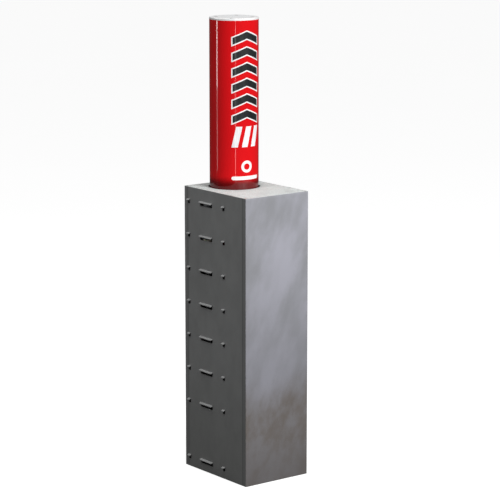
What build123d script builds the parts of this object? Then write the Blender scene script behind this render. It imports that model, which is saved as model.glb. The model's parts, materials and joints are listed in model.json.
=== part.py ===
from build123d import *
import math
import os

# A hydraulic retractable bollard: a steel cylinder that rises through the top plate of a
# buried sheet-steel casing, with its ram, guides and power pack inside the casing.
# Millimetres. The origin is the centre of the casing's underside, +Z is up, the face with
# the bent tabs is -Y and the drive chamber is at +X. The cylinder is modelled raised.

# ---- Fits -------------------------------------------------------------------------------
FIT = 0.05          # radial gap of pieces that are pressed, welded or screwed together
RUN = 0.1           # radial gap of a shaft that turns or slides in its bore
SLIDE = 0.3         # radial gap between the cylinder and its bushes and seal
CLEAR = 1.0         # gap between pieces that only pass each other

# ---- The rising cylinder ----------------------------------------------------------------
TUBE_OD = 203.0
TUBE_WALL = 6.0
STROKE = 700.0            # rise above the ground, which is the slide's travel
GUIDED_LENGTH = 250.0     # tube still inside the casing when it is raised
CAP_THICK = 8.0
CAP_SPIGOT = 10.0
CAP_EDGE = 1.5
CAP_SCREW_PCD = 150.0
ANCHOR_THICK = 16.0

# ---- The casing -------------------------------------------------------------------------
SHEET = 3.0
FOLD_RADIUS = 4.0
TOP_PLATE = 8.0
BASE_PLATE = 8.0
RIM_BAR = 10.0
RIM_HEIGHT = 30.0
SUMP_DEPTH = 250.0        # room under the tube when it is lowered
CHAMBER_WIDTH = 188.5     # tube skin to the casing's outer face on the drive side
SLEEVE_WALL = 4.0
SLEEVE_LIP = 3.2
BUSH_WALL = 7.0
BUSH_LENGTH = 30.0
SLEEVE_LENGTH = 130.0
SEAL_HEIGHT = 12.0
SEAL_STANDS = 5.0         # the seal's lip above the top plate's underside
PLATE_GAP = 6.0           # top plate's hole around the tube
GUIDE_HEAD = 12.0
GUIDE_HEAD_REACH = 126.0  # from the tube's axis towards the drive chamber

# ---- Tabs cut from the casing's long faces and bent out to key into the concrete --------
TAB_LONG = 84.0
TAB_SHORT = 16.0
TAB_OUT = 11.0            # how far a tab stands out of its face
TAB_FALL = 4.0            # how far its lip lies below the fold
TAB_CORNER = 5.0
TAB_WINDOW = 20.0         # height of the opening that the tab leaves
TAB_PITCH = 142.2
TAB_TOP_DROP = 50.0       # first fold below the casing's top
TAB_BOTTOM_RISE = 52.0    # last fold above its underside
TAB_SIDE = 120.0          # short tabs on either side of the long one
TAB_CENTRE = -60.0        # the pattern's middle, from the casing's middle

# ---- Guide rails and stops --------------------------------------------------------------
RAIL_R = 12.5
RAIL_END_R = 8.0
RAIL_SEAT = 5.0
SHOE_WALL = 9.4
SHOE_LENGTH = 70.0
SHOE_BELOW = 30.0         # part of the shoe below the tube's end
SHOE_FLANGE = 5.0
SHOE_TO_WALL = 1.5
SHOE_TO_TUBE = 10.0
STOP_WALL = 5.2
TOP_BUFFER = 20.0
CARRIAGE = 16.0
CARRIAGE_SIDE = 105.0     # half the carriage's width
CARRIAGE_CORNER = 20.0
CARRIAGE_HOLE_GAP = 8.0
BUFFER_R = 25.0
BUFFER_HEIGHT = 34.0
BUFFER_POST_R = 20.0
BUFFER_AT = 75.0

# ---- Hydraulic ram ----------------------------------------------------------------------
BARREL_R = 30.0
BARREL_BORE = 25.0
ROD_R = 15.0
ROD_THREAD_R = 10.0
ROD_NUT = 12.0
PISTON_LENGTH = 40.0
PISTON_MARGIN = 10.0
GLAND_SPIGOT = 35.0
GLAND_HEAD = 12.0
END_CAP_HEIGHT = 35.0
END_SPIGOT = 10.0
PIN_HEIGHT = 170.0
PIN_R = 10.0
TANG_THICK = 20.0
EAR_THICK = 12.0
EAR_WIDTH = 44.0
PEDESTAL_R = 35.0

# ---- Power pack -------------------------------------------------------------------------
PACK_TO_WALL = 6.0
TANK_X = 140.0
TANK_Y = 200.0
TANK_Z = 200.0
TANK_WALL = 3.0
TANK_Y_MIDDLE = 10.0
SHELF_DROP = 690.0        # shelf below the guide head
SHELF = 8.0
BRACKET = 6.0
BRACKET_TO_WALL = 5.0
BRACKET_WIDTH = 122.0
BRACKET_DROP = 40.0       # bracket's top below the guide head
LID = 10.0
BELL_HEIGHT = 60.0
BELL_WALL = 8.0
MOTOR_R = 62.0
MOTOR_WALL = 6.0
MOTOR_LENGTH = 190.0
MOTOR_Y = 40.0
MOTOR_COVER = 15.0
MOTOR_FINS = 24
FIN_OUT = 3.0
SHAFT_R = 9.0
COUPLING_R = 22.5
ROTOR_R = 34.0
CORE_LENGTH = 110.0
AIR_GAP = 0.6
BEARING_R = 20.0
BEARING_LENGTH = 12.0
PUMP_R = 35.0
PUMP_LENGTH = 80.0
STRAINER_R = 22.0
STRAINER_LENGTH = 50.0
BLOCK = 50.0
BLOCK_HEIGHT = 60.0
BLOCK_Y = -60.0
COIL = 36.0
COIL_HEIGHT = 42.0
LEVER_R = 6.0
LEVER_LENGTH = 46.0
LEVER_HEIGHT = 34.0       # pivot above the tank's lid
LEVER_SEAT = 15.0

# ---- Hose, sensors, electrical box and sockets ------------------------------------------
HOSE_R = 7.0
ELBOW_R = 10.0
ELBOW_HEX = 13.0
ELBOW_REACH = 30.0
HOSE_BEND_SHARE = 0.45    # the bend's radius, as a share of the hose's level run
SENSOR_R = 9.0
SENSOR_LENGTH = 50.0
SENSOR_GAP = 3.0
SENSOR_Y = -100.0
SENSOR_RAIL = 4.0
SENSOR_RAIL_WIDTH = 30.0
BOX_X = 100.0
BOX_Y = 50.0
BOX_Z = 130.0
BOX_WALL = 3.0
BOX_LID = 4.0
BOX_SCREW_IN = 3.75       # a lid screw's axis from the box's inner faces
BOX_DROP = 15.0           # the box below the bracket's top
GLAND_R = 9.0
GLAND_HEX = 11.7
GLAND_NUT = 9.9
GLAND_STEP = 28.0
SOCKET_BORE = 25.5        # takes a 50 mm pipe or duct
SOCKET_WALL = 4.5
SOCKET_LENGTH = 40.0
CONDUIT_X = 120.0
DUCT_MARGIN = 12.0        # sheet left around the duct's socket in its plate
DRAIN_Y = 0.0

# ---- Screws -----------------------------------------------------------------------------
M5 = 2.5
M6 = 3.0
M8 = 4.0
HEX_HEAD = 1.3           # height of a hexagon head, in radii of its shank

# ---- What follows from the sizes above --------------------------------------------------
TUBE_R = TUBE_OD / 2
TUBE_BORE = TUBE_R - TUBE_WALL
BUSH_IN = TUBE_R + SLIDE
SLEEVE_IN = BUSH_IN + BUSH_WALL
SLEEVE_R = SLEEVE_IN + SLEEVE_WALL
SHOE_R = RAIL_R + RUN + SHOE_WALL
STOP_R = RAIL_R + SLIDE + STOP_WALL

TO_SIDE = SLEEVE_R + SLEEVE_LIP + CLEAR + RIM_BAR + SHEET - TUBE_R
TO_FRONT = SHOE_TO_TUBE + 2 * SHOE_R + SHOE_TO_WALL + SHEET
HALF_X = (TO_SIDE + TUBE_OD + CHAMBER_WIDTH) / 2
HALF_Y = TUBE_R + TO_FRONT
CASING_Z = STROKE + GUIDED_LENGTH + SUMP_DEPTH
AXIS_X = -HALF_X + TO_SIDE + TUBE_R
IN_X = HALF_X - SHEET
IN_Y = HALF_Y - SHEET

SHELL_TOP = CASING_Z - TOP_PLATE
RIM_BOTTOM = SHELL_TOP - RIM_HEIGHT
HEAD_BOTTOM = RIM_BOTTOM - GUIDE_HEAD
HEAD_END = AXIS_X + GUIDE_HEAD_REACH

TUBE_BOTTOM = CASING_Z - GUIDED_LENGTH
CAP_TOP = CASING_Z + STROKE
TUBE_TOP = CAP_TOP - CAP_THICK
ANCHOR_TOP = TUBE_TOP - CAP_SPIGOT
ANCHOR_BOTTOM = ANCHOR_TOP - ANCHOR_THICK

RAIL_Y = TUBE_R + SHOE_TO_TUBE + SHOE_R
SHOE_TOP = TUBE_BOTTOM - SHOE_BELOW + SHOE_LENGTH
CARRIAGE_BOTTOM = TUBE_BOTTOM - CARRIAGE
CARRIAGE_HALF_Y = RAIL_Y + SHOE_R - SHOE_WALL / 2
LOWERED_CARRIAGE = CARRIAGE_BOTTOM - STROKE

END_CAP_BOTTOM = PIN_HEIGHT + PIN_R + CLEAR + SHEET
BARREL_BOTTOM = END_CAP_BOTTOM + END_CAP_HEIGHT
BARREL_LENGTH = END_SPIGOT + PISTON_MARGIN + STROKE + PISTON_LENGTH + PISTON_MARGIN + GLAND_SPIGOT
BARREL_TOP = BARREL_BOTTOM + BARREL_LENGTH
PISTON_TOP = BARREL_TOP - GLAND_SPIGOT - PISTON_MARGIN
PORT_Z = END_CAP_BOTTOM + END_CAP_HEIGHT / 2

PACK_X = IN_X - PACK_TO_WALL - TANK_X / 2
SHELF_TOP = HEAD_BOTTOM - SHELF_DROP
BRACKET_TOP = HEAD_BOTTOM - BRACKET_DROP
TANK_TOP = SHELF_TOP + TANK_Z
LID_TOP = TANK_TOP + LID
BELL_TOP = LID_TOP + BELL_HEIGHT
MOTOR_TOP = BELL_TOP + MOTOR_LENGTH
CORE_BOTTOM = BELL_TOP + (MOTOR_LENGTH - CORE_LENGTH) / 2
BRACKET_BACK = IN_Y - BRACKET_TO_WALL
BRACKET_FRONT = BRACKET_BACK - BRACKET
BLOCK_FRONT = BLOCK_Y - BLOCK / 2
BLOCK_SIDE = PACK_X - BLOCK / 2
ELBOW_Z = LID_TOP + BLOCK_HEIGHT / 2
HOSE_Y = BLOCK_FRONT - ELBOW_REACH
BOX_TOP = BRACKET_TOP - BOX_DROP
BOX_BOTTOM = BOX_TOP - BOX_Z
BOX_FRONT = BRACKET_FRONT - BOX_Y
TAB_LENGTH = math.hypot(TAB_OUT, TAB_FALL)
TAB_ROWS = int((CASING_Z - TAB_TOP_DROP - TAB_BOTTOM_RISE) / TAB_PITCH)
TAB_HEIGHTS = [CASING_Z - TAB_TOP_DROP - i * TAB_PITCH for i in range(TAB_ROWS)]
TAB_HEIGHTS.append(TAB_BOTTOM_RISE)
CONDUIT_Z = (TAB_HEIGHTS[2] + TAB_HEIGHTS[3]) / 2


# ---- Plain shapes -----------------------------------------------------------------------
def round_bar(radius, low, high, x=0.0, y=0.0):
    """An upright cylinder between two heights."""
    return Pos(x, y, (low + high) / 2) * Cylinder(radius, high - low)


def pipe(outer, inner, low, high, x=0.0, y=0.0):
    """An upright pipe between two heights."""
    return round_bar(outer, low, high, x, y) - round_bar(inner, low, high, x, y)


def block(x0, x1, y0, y1, z0, z1):
    """A box between two corners."""
    return Pos((x0 + x1) / 2, (y0 + y1) / 2, (z0 + z1) / 2) * Box(x1 - x0, y1 - y0, z1 - z0)


def bar_x(radius, x0, x1, y, z):
    """A cylinder along X."""
    return Pos((x0 + x1) / 2, y, z) * Rot(0, 90, 0) * Cylinder(radius, x1 - x0)


def bar_y(radius, y0, y1, x, z):
    """A cylinder along Y."""
    return Pos(x, (y0 + y1) / 2, z) * Rot(90, 0, 0) * Cylinder(radius, y1 - y0)


def ring_points(count, circle, turn=0.0):
    """Points spread evenly on a circle about the cylinder's axis."""
    angles = [math.radians(turn + i * 360 / count) for i in range(count)]
    return [(AXIS_X + circle * math.cos(a), circle * math.sin(a)) for a in angles]


def flat_screw(x, y, top, radius, length):
    """A countersunk screw whose head is flush with the height top, with a hexagon socket."""
    head = Pos(x, y, top - radius / 2) * Cone(radius, 2 * radius, radius)
    shank = round_bar(radius, top - length, top - radius / 2, x, y)
    socket = Pos(x, y, top - radius) * extrude(RegularPolygon(radius, 6), radius)
    return head + shank - socket


def flat_screw_hole(x, y, top, radius, length):
    """The countersunk hole for flat_screw, a fit larger all round."""
    sink = Pos(x, y, top - radius / 2) * Cone(radius + FIT, 2 * radius + FIT, radius)
    return sink + round_bar(radius + FIT, top - length - FIT, top, x, y)


def hex_screw(x, y, seat, radius, length):
    """A hexagon screw with its head above the height seat and its shank below."""
    head = Pos(x, y, seat) * extrude(RegularPolygon(2 * radius, 6), HEX_HEAD * radius)
    return head + round_bar(radius, seat - length, seat, x, y)


def group(pieces):
    """Separate solids that share one node."""
    return Compound(children=list(pieces))


# ---- Casing -----------------------------------------------------------------------------
def tab_places():
    """Middle of each tab's fold on the casing's front face, with its length."""
    for z in TAB_HEIGHTS:
        yield TAB_CENTRE, z, TAB_LONG
        for side in (-1, 1):
            yield TAB_CENTRE + side * TAB_SIDE, z, TAB_SHORT


def round_ended(length, height):
    """A rectangle hanging from the X axis, with its two lower corners rounded."""
    shape = Pos(0, -height / 2) * Rectangle(length, height)
    return fillet(shape.vertices().group_by(Axis.Y)[0], TAB_CORNER)


def tab_window(x, z, length):
    """The opening that a tab leaves in the sheet, below its fold."""
    inner = Plane(origin=(x, -IN_Y, z), x_dir=(1, 0, 0), z_dir=(0, -1, 0))
    return extrude(inner * round_ended(length, TAB_WINDOW), SHEET)


def bent_tab(x, z, length):
    """The tab itself, sloping out and down from its fold."""
    slope = Vector(0, -TAB_FALL, TAB_OUT)
    top = Plane(origin=(x, -HALF_Y, z), x_dir=(1, 0, 0), z_dir=slope)
    length_down = TAB_LENGTH + SHEET
    plate = extrude(top * Pos(0, SHEET) * round_ended(length, length_down), -SHEET)
    outside = block(x - length, x + length, -HALF_Y - TAB_LENGTH, -IN_Y, z - TAB_LENGTH - SHEET,
                    z + SHEET)
    return plate & outside


def folded_panel():
    """One sheet folded at a corner: the long face with its tabs and a smooth short face."""
    front = block(-HALF_X, HALF_X, -HALF_Y, -IN_Y, 0, SHELL_TOP)
    side = block(IN_X, HALF_X, -HALF_Y, IN_Y, 0, SHELL_TOP)
    panel = front + side
    upright = panel.edges().filter_by(Axis.Z)
    outer = upright.filter_by_position(Axis.X, HALF_X, HALF_X).sort_by(Axis.Y)[0]
    panel = fillet(outer, FOLD_RADIUS)
    panel = panel - [tab_window(*place) for place in tab_places()]
    return panel + [bent_tab(*place) for place in tab_places()]


def casing_front_panel():
    return folded_panel()


def duct_patch(gap):
    """The square that the duct's plate fills in the rear sheet, a gap larger all round."""
    half = SOCKET_BORE + SOCKET_WALL + DUCT_MARGIN + gap
    return block(CONDUIT_X - half, CONDUIT_X + half, IN_Y, HALF_Y, CONDUIT_Z - half,
                 CONDUIT_Z + half)


def casing_rear_panel():
    """The same folded sheet turned round, with a square window for the duct's plate."""
    return Rot(0, 0, 180) * folded_panel() - duct_patch(FIT)


def duct_plate():
    """The plate that is welded into the rear sheet's window and holds the duct's socket."""
    return duct_patch(0) - bar_y(SOCKET_BORE + SOCKET_WALL + FIT, IN_Y, HALF_Y, CONDUIT_X, CONDUIT_Z)


def inner_plate(low, high):
    """A plate that fills the casing, eased at the two folded corners."""
    plate = block(-IN_X, IN_X, -IN_Y, IN_Y, low, high)
    return chamfer(plate.edges().filter_by(Axis.Z), FOLD_RADIUS - SHEET)


def rail_places():
    return [(AXIS_X, -RAIL_Y), (AXIS_X, RAIL_Y)]


def base_plate():
    plate = inner_plate(0, BASE_PLATE)
    drain = round_bar(SOCKET_BORE + SOCKET_WALL + FIT, 0, BASE_PLATE, PACK_X, DRAIN_Y)
    seats = [round_bar(RAIL_END_R + FIT, BASE_PLATE - RAIL_SEAT, BASE_PLATE, x, y)
             for x, y in rail_places()]
    return plate - drain - seats


def rim_screw_places():
    """Four corners and the middles of the long sides, over the rim's bars."""
    x = IN_X - RIM_BAR / 2
    y = IN_Y - RIM_BAR / 2
    return [(-x, -y), (x, -y), (x, y), (-x, y), (AXIS_X - x / 4, -y), (AXIS_X - x / 4, y),
            (x / 2, -y), (x / 2, y)]


def rim_frame():
    rim = inner_plate(RIM_BOTTOM, SHELL_TOP)
    inside = block(-IN_X + RIM_BAR, IN_X - RIM_BAR, -IN_Y + RIM_BAR, IN_Y - RIM_BAR,
                   RIM_BOTTOM, SHELL_TOP)
    holes = [round_bar(M6 + FIT, SHELL_TOP - TOP_PLATE - RIM_BAR, SHELL_TOP, x, y)
             for x, y in rim_screw_places()]
    return rim - inside - holes


def top_plate():
    plate = block(-HALF_X, HALF_X, -HALF_Y, HALF_Y, SHELL_TOP, CASING_Z)
    plate = chamfer(plate.faces().sort_by(Axis.Z)[-1].edges(), CLEAR / 2)
    hole = round_bar(TUBE_R + PLATE_GAP, SHELL_TOP, CASING_Z, AXIS_X)
    sinks = [flat_screw_hole(x, y, CASING_Z, M6, TOP_PLATE) for x, y in rim_screw_places()]
    return plate - hole - sinks


def top_plate_screws():
    length = TOP_PLATE + RIM_BAR
    return group(flat_screw(x, y, CASING_Z, M6, length) for x, y in rim_screw_places())


def guide_head():
    """The plate under the rim that holds the guide sleeve and the rails' upper ends."""
    plate = inner_plate(HEAD_BOTTOM, RIM_BOTTOM) & block(-IN_X, HEAD_END, -IN_Y, IN_Y,
                                                          HEAD_BOTTOM, RIM_BOTTOM)
    sleeve = round_bar(SLEEVE_R + FIT, HEAD_BOTTOM, RIM_BOTTOM, AXIS_X)
    seats = [round_bar(RAIL_END_R + FIT, HEAD_BOTTOM, HEAD_BOTTOM + RAIL_SEAT, x, y)
             for x, y in rail_places()]
    return plate - sleeve - seats


def guide_sleeve():
    """The steel sleeve around the tube, with a lip that rests on the guide head."""
    wall = pipe(SLEEVE_R, SLEEVE_IN, SHELL_TOP - SLEEVE_LENGTH, SHELL_TOP, AXIS_X)
    lip = pipe(SLEEVE_R + SLEEVE_LIP, SLEEVE_R - FIT, RIM_BOTTOM, RIM_BOTTOM + SHEET, AXIS_X)
    return wall + lip


def guide_bush_upper():
    top = SHELL_TOP - SEAL_HEIGHT
    return pipe(SLEEVE_IN - FIT, BUSH_IN, top - BUSH_LENGTH, top, AXIS_X)


def guide_bush_lower():
    low = SHELL_TOP - SLEEVE_LENGTH
    return pipe(SLEEVE_IN - FIT, BUSH_IN, low, low + BUSH_LENGTH, AXIS_X)


def wiper_seal():
    """A rubber ring held under the top plate, its lip standing in the plate's hole."""
    low = SHELL_TOP - SEAL_HEIGHT
    body = pipe(SLEEVE_IN - FIT, BUSH_IN, low, SHELL_TOP, AXIS_X)
    lip = pipe(TUBE_R + PLATE_GAP - CLEAR, BUSH_IN, SHELL_TOP, SHELL_TOP + SEAL_STANDS, AXIS_X)
    return body + lip


# ---- Guide rails, stops and buffers -----------------------------------------------------
def guide_rail(side):
    y = side * RAIL_Y
    ends = round_bar(RAIL_END_R, BASE_PLATE - RAIL_SEAT, HEAD_BOTTOM + RAIL_SEAT, AXIS_X, y)
    return round_bar(RAIL_R, BASE_PLATE, HEAD_BOTTOM, AXIS_X, y) + ends


def stop_tubes():
    low = SHOE_TOP + TOP_BUFFER
    return group(pipe(STOP_R, RAIL_R + SLIDE, low, HEAD_BOTTOM, x, y) for x, y in rail_places())


def top_buffers():
    low = SHOE_TOP + SLIDE
    return group(pipe(STOP_R, RAIL_R + SLIDE, low, SHOE_TOP + TOP_BUFFER, x, y)
                 for x, y in rail_places())


def buffer_places():
    return [(AXIS_X, -BUFFER_AT), (AXIS_X, BUFFER_AT)]


def buffer_posts():
    top = LOWERED_CARRIAGE - SLIDE - BUFFER_HEIGHT
    return group(round_bar(BUFFER_POST_R, BASE_PLATE, top, x, y) for x, y in buffer_places())


def bottom_buffers():
    top = LOWERED_CARRIAGE - SLIDE
    discs = [round_bar(BUFFER_R, top - BUFFER_HEIGHT, top, x, y) for x, y in buffer_places()]
    return group(chamfer(d.edges().sort_by(Axis.Z)[-1], 2 * CLEAR) for d in discs)


# ---- Hydraulic ram ----------------------------------------------------------------------
def ram_pedestal():
    """The post under the ram, with two ears for the pin."""
    post_top = PIN_HEIGHT - EAR_WIDTH / 2 - CLEAR
    post = round_bar(PEDESTAL_R, BASE_PLATE, post_top, AXIS_X)
    ears = []
    for side in (-1, 1):
        inner = side * (TANG_THICK / 2 + CLEAR)
        outer = inner + side * EAR_THICK
        low, high = sorted((inner, outer))
        plate = block(AXIS_X - EAR_WIDTH / 2, AXIS_X + EAR_WIDTH / 2, low, high,
                      post_top, PIN_HEIGHT)
        ears.append(plate + bar_y(EAR_WIDTH / 2, low, high, AXIS_X, PIN_HEIGHT))
    reach = TANG_THICK / 2 + CLEAR + EAR_THICK
    hole = bar_y(PIN_R + FIT, -reach, reach, AXIS_X, PIN_HEIGHT)
    pedestal = post + ears - hole
    return pedestal - block(AXIS_X - BARREL_R - CLEAR, AXIS_X + BARREL_R + CLEAR, -reach, reach,
                            END_CAP_BOTTOM - CLEAR, END_CAP_BOTTOM + EAR_WIDTH)


def ram_pin():
    reach = TANG_THICK / 2 + CLEAR + EAR_THICK + SHEET
    pin = bar_y(PIN_R, -reach, reach, AXIS_X, PIN_HEIGHT)
    return chamfer(pin.edges().filter_by(GeomType.CIRCLE), CLEAR)


def ram_end_cap():
    """The ram's lower end: a tang on the pin, a body with the oil port and a spigot."""
    body = round_bar(BARREL_R, END_CAP_BOTTOM, BARREL_BOTTOM, AXIS_X)
    spigot = round_bar(BARREL_BORE - FIT, BARREL_BOTTOM, BARREL_BOTTOM + END_SPIGOT, AXIS_X)
    tang = bar_y(EAR_WIDTH / 2, -TANG_THICK / 2, TANG_THICK / 2, AXIS_X, PIN_HEIGHT)
    neck = block(AXIS_X - EAR_WIDTH / 2, AXIS_X + EAR_WIDTH / 2, -TANG_THICK / 2,
                 TANG_THICK / 2, PIN_HEIGHT, END_CAP_BOTTOM + CLEAR)
    hole = bar_y(PIN_R + RUN, -TANG_THICK, TANG_THICK, AXIS_X, PIN_HEIGHT)
    return body + spigot + tang + neck - hole


def ram_barrel():
    return pipe(BARREL_R, BARREL_BORE, BARREL_BOTTOM, BARREL_TOP, AXIS_X)


def ram_gland():
    spigot = round_bar(BARREL_BORE - FIT, BARREL_TOP - GLAND_SPIGOT, BARREL_TOP, AXIS_X)
    head = round_bar(BARREL_R, BARREL_TOP, BARREL_TOP + GLAND_HEAD, AXIS_X)
    head = chamfer(head.edges().sort_by(Axis.Z)[-1], 2 * CLEAR)
    bore = round_bar(ROD_R + RUN, BARREL_TOP - GLAND_SPIGOT, BARREL_TOP + GLAND_HEAD, AXIS_X)
    return spigot + head - bore


def ram_rod():
    shoulder = ANCHOR_BOTTOM - ROD_NUT
    rod = round_bar(ROD_R, PISTON_TOP, shoulder, AXIS_X)
    thread = round_bar(ROD_THREAD_R, shoulder, ANCHOR_TOP, AXIS_X)
    stub = round_bar(ROD_THREAD_R, PISTON_TOP - PISTON_LENGTH, PISTON_TOP, AXIS_X)
    return rod + thread + stub


def ram_piston():
    """The piston, with a groove for its seal."""
    low = PISTON_TOP - PISTON_LENGTH
    piston = pipe(BARREL_BORE - RUN, ROD_THREAD_R + FIT, low, PISTON_TOP, AXIS_X)
    middle = PISTON_TOP - PISTON_LENGTH / 2
    groove = pipe(BARREL_BORE, BARREL_BORE - SHEET, middle - SHEET, middle + SHEET, AXIS_X)
    return piston - groove


# ---- The rising cylinder and its carriage -----------------------------------------------
def bollard_tube():
    return pipe(TUBE_R, TUBE_BORE, TUBE_BOTTOM, TUBE_TOP, AXIS_X)


def cap_screw_places():
    return ring_points(4, CAP_SCREW_PCD / 2, 45)


def bollard_cap():
    cap = round_bar(TUBE_R, TUBE_TOP, CAP_TOP, AXIS_X)
    cap = chamfer(cap.edges().sort_by(Axis.Z)[-1], CAP_EDGE)
    spigot = round_bar(TUBE_BORE - FIT, ANCHOR_TOP, TUBE_TOP, AXIS_X)
    sinks = [flat_screw_hole(x, y, CAP_TOP, M8, CAP_THICK + CAP_SPIGOT)
             for x, y in cap_screw_places()]
    return cap + spigot - sinks


def cap_screws():
    length = CAP_THICK + CAP_SPIGOT + ANCHOR_THICK - SHEET
    return group(flat_screw(x, y, CAP_TOP, M8, length) for x, y in cap_screw_places())


def rod_anchor():
    """The disc welded inside the tube that the rod lifts."""
    disc = round_bar(TUBE_BORE - FIT, ANCHOR_BOTTOM, ANCHOR_TOP, AXIS_X)
    thread = round_bar(ROD_THREAD_R + FIT, ANCHOR_BOTTOM, ANCHOR_TOP, AXIS_X)
    holes = [round_bar(M8 + FIT, ANCHOR_BOTTOM, ANCHOR_TOP, x, y) for x, y in cap_screw_places()]
    return disc - thread - holes


def rod_nut():
    hexagon = Pos(AXIS_X, 0, ANCHOR_BOTTOM - ROD_NUT) * extrude(RegularPolygon(2 * ROD_THREAD_R, 6),
                                                                ROD_NUT)
    return hexagon - round_bar(ROD_THREAD_R + FIT, ANCHOR_BOTTOM - ROD_NUT, ANCHOR_BOTTOM, AXIS_X)


def shoe_screw_places():
    """Two screws beside each rail, outside the tube and inside the shoe's flange."""
    offset = SHOE_R + 2 * M5 + CLEAR
    return [(x + side * offset, y) for x, y in rail_places() for side in (-1, 1)]


def carriage():
    """The plate welded under the tube that carries the two guide shoes."""
    plate = block(AXIS_X - CARRIAGE_SIDE, AXIS_X + CARRIAGE_SIDE, -CARRIAGE_HALF_Y,
                  CARRIAGE_HALF_Y, CARRIAGE_BOTTOM, TUBE_BOTTOM)
    plate = fillet(plate.edges().filter_by(Axis.Z), CARRIAGE_CORNER)
    ram = round_bar(BARREL_R + CARRIAGE_HOLE_GAP, CARRIAGE_BOTTOM, TUBE_BOTTOM, AXIS_X)
    shoes = [round_bar(SHOE_R + FIT, CARRIAGE_BOTTOM, TUBE_BOTTOM, x, y)
             for x, y in rail_places()]
    screws = [round_bar(M5 + FIT, CARRIAGE_BOTTOM, TUBE_BOTTOM, x, y)
              for x, y in shoe_screw_places()]
    return plate - ram - shoes - screws


def guide_shoe(side):
    """A polymer shoe on one rail, its flange screwed down on the carriage."""
    y = side * RAIL_Y
    low = SHOE_TOP - SHOE_LENGTH
    body = round_bar(SHOE_R, low, SHOE_TOP, AXIS_X, y)
    offset = SHOE_R + 2 * M5 + CLEAR
    half = offset + 3 * M5
    flange = block(AXIS_X - half, AXIS_X + half, y - 3 * M5, y + 3 * M5, TUBE_BOTTOM,
                   TUBE_BOTTOM + SHOE_FLANGE)
    flange -= round_bar(TUBE_R + CLEAR, TUBE_BOTTOM, TUBE_BOTTOM + SHOE_FLANGE, AXIS_X)
    holes = [round_bar(M5 + FIT, TUBE_BOTTOM, TUBE_BOTTOM + SHOE_FLANGE, AXIS_X + s * offset, y)
             for s in (-1, 1)]
    return body + flange - holes - round_bar(RAIL_R + RUN, low, SHOE_TOP, AXIS_X, y)


def carriage_screws():
    seat = TUBE_BOTTOM + SHOE_FLANGE
    return group(hex_screw(x, y, seat, M5, SHOE_FLANGE + CARRIAGE) for x, y in shoe_screw_places())


# ---- Power pack -------------------------------------------------------------------------
def pack_bracket():
    """An upright plate by the rear wall, open behind the duct, with a foot, a shelf for the
    tank and two gussets."""
    x0, x1 = PACK_X - BRACKET_WIDTH / 2, PACK_X + BRACKET_WIDTH / 2
    front = TANK_Y_MIDDLE - TANK_Y / 2 - PACK_TO_WALL
    upright = block(x0, x1, BRACKET_FRONT, BRACKET_BACK, BASE_PLATE, BRACKET_TOP)
    foot = block(x0, x1, BRACKET_FRONT - BOX_Y, BRACKET_BACK, BASE_PLATE, BASE_PLATE + SHELF)
    shelf = block(PACK_X - TANK_X / 2, PACK_X + TANK_X / 2, front, BRACKET_BACK,
                  SHELF_TOP - SHELF, SHELF_TOP)
    low = SHELF_TOP - SHELF
    outline = Polyline((BRACKET_FRONT, low), (front + PACK_TO_WALL, low),
                       (BRACKET_FRONT, low - TANK_Z), close=True)
    gussets = [Plane.YZ.offset(x) * extrude(make_face(outline), BRACKET)
               for x in (x0, x1 - BRACKET)]
    half = SOCKET_BORE + SOCKET_WALL + CLEAR
    duct = block(CONDUIT_X - half, CONDUIT_X + half, BRACKET_FRONT, BRACKET_BACK, CONDUIT_Z - half,
                 CONDUIT_Z + half)
    return upright + foot + shelf + gussets - duct


def oil_tank():
    x0, x1 = PACK_X - TANK_X / 2, PACK_X + TANK_X / 2
    y0, y1 = TANK_Y_MIDDLE - TANK_Y / 2, TANK_Y_MIDDLE + TANK_Y / 2
    body = block(x0, x1, y0, y1, SHELF_TOP, TANK_TOP)
    body = fillet(body.edges().filter_by(Axis.Z), 2 * TANK_WALL)
    inside = block(x0 + TANK_WALL, x1 - TANK_WALL, y0 + TANK_WALL, y1 - TANK_WALL,
                   SHELF_TOP + TANK_WALL, TANK_TOP)
    inside = fillet(inside.edges().filter_by(Axis.Z), TANK_WALL)
    return body - inside


def lid_screw_places():
    x, y = TANK_X / 2 - BRACKET, TANK_Y / 2 - BRACKET
    return [(PACK_X + i * x, TANK_Y_MIDDLE + j * y) for i in (-1, 1) for j in (-1, 1)]


def filler_place():
    return PACK_X + TANK_X / 2 - 4 * BRACKET, BLOCK_Y


def tank_lid():
    lid = block(PACK_X - TANK_X / 2, PACK_X + TANK_X / 2, TANK_Y_MIDDLE - TANK_Y / 2,
                TANK_Y_MIDDLE + TANK_Y / 2, TANK_TOP, LID_TOP)
    lid = fillet(lid.edges().filter_by(Axis.Z), 2 * TANK_WALL)
    shaft = round_bar(SHAFT_R + CLEAR, TANK_TOP, LID_TOP, PACK_X, MOTOR_Y)
    fill = round_bar(GLAND_R + FIT, TANK_TOP, LID_TOP, *filler_place())
    holes = [round_bar(M5 / 2 + FIT, TANK_TOP, LID_TOP, x, y) for x, y in lid_screw_places()]
    return lid - shaft - fill - holes


def lid_screws():
    return group(hex_screw(x, y, LID_TOP, M5 / 2, LID) for x, y in lid_screw_places())


def filler_cap():
    x, y = filler_place()
    cap = round_bar(2 * GLAND_R, LID_TOP, LID_TOP + 2 * GLAND_R, x, y)
    cap = fillet(cap.edges().sort_by(Axis.Z)[-1], TANK_WALL)
    return cap + round_bar(GLAND_R, TANK_TOP, LID_TOP, x, y)


def pump_body():
    """The gear pump under the lid, open at the top for the motor's shaft."""
    low = TANK_TOP - PUMP_LENGTH
    body = round_bar(PUMP_R, low, TANK_TOP, PACK_X, MOTOR_Y)
    bore = round_bar(SHAFT_R + RUN, TANK_TOP - PUMP_LENGTH / 2, TANK_TOP, PACK_X, MOTOR_Y)
    return body - bore


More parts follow.
